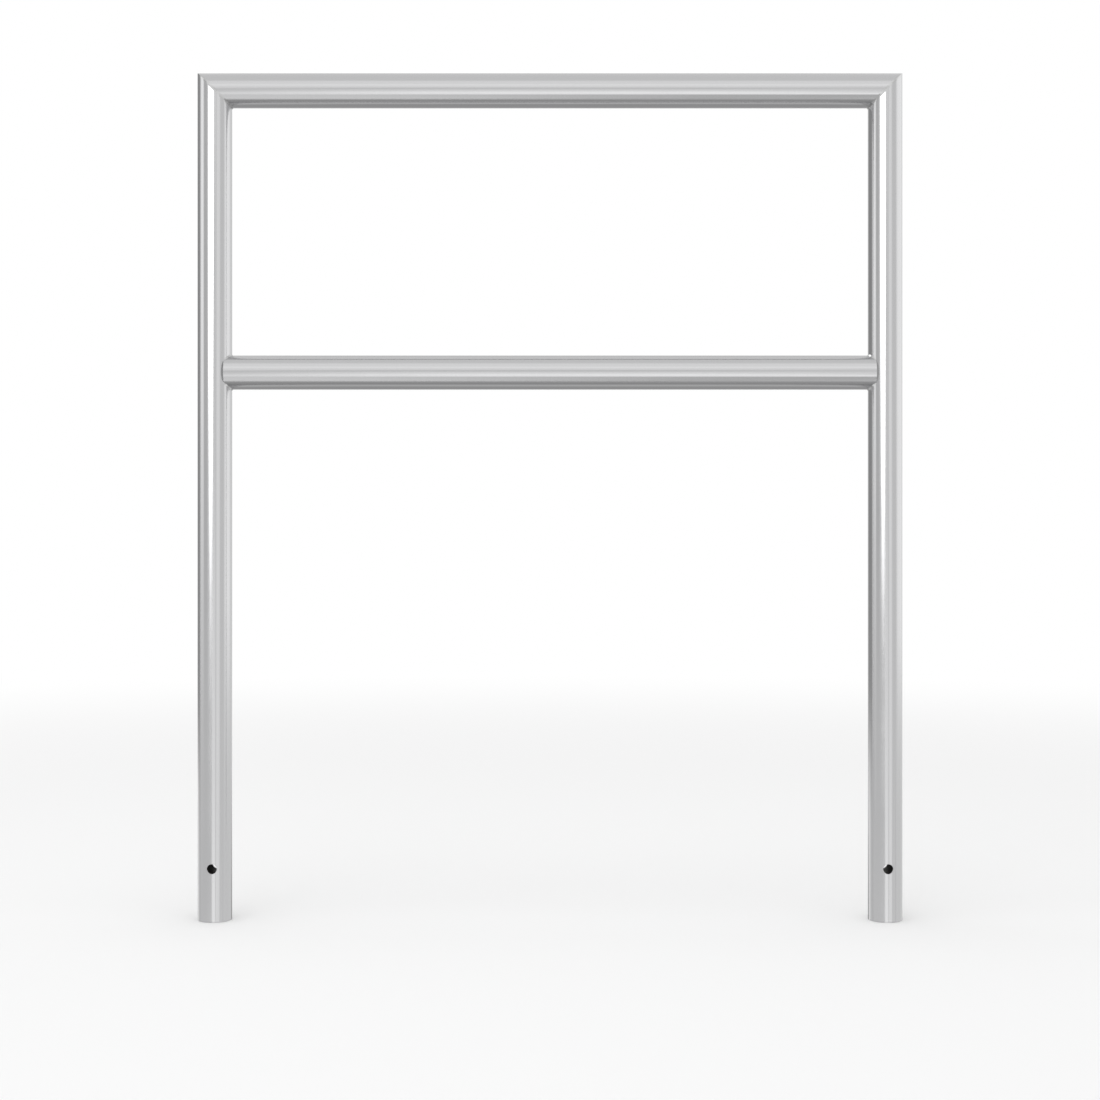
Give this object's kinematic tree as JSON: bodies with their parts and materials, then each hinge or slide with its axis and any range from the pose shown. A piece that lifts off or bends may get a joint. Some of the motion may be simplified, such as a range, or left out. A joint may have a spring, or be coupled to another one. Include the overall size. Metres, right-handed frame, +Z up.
{
  "type": "hoop barrier",
  "caption": "Root-fixed hoop barrier of round stainless steel tube, mitred at the top corners, with a coped cross rail and an anchor hole near each leg end.",
  "frame": {"origin": "centre of the left leg's cut lower end", "axes": "+X along the rails from the left leg to the right leg, +Y from the front to the back, +Z up the legs"},
  "size_m": [1, 0.0484, 1.2],
  "materials": {
    "tube": "satin, polished along the tube",
    "weld": "ground smooth and satin"
  },
  "bodies": {
    "root": {"left_leg": "tube", "right_leg": "tube", "top_rail": "tube", "cross_rail": "tube", "left_corner_weld": "weld", "right_corner_weld": "weld", "left_corner_fillet": "weld", "right_corner_fillet": "weld", "left_cross_weld": "weld", "right_cross_weld": "weld"}
  },
  "joints": []
}
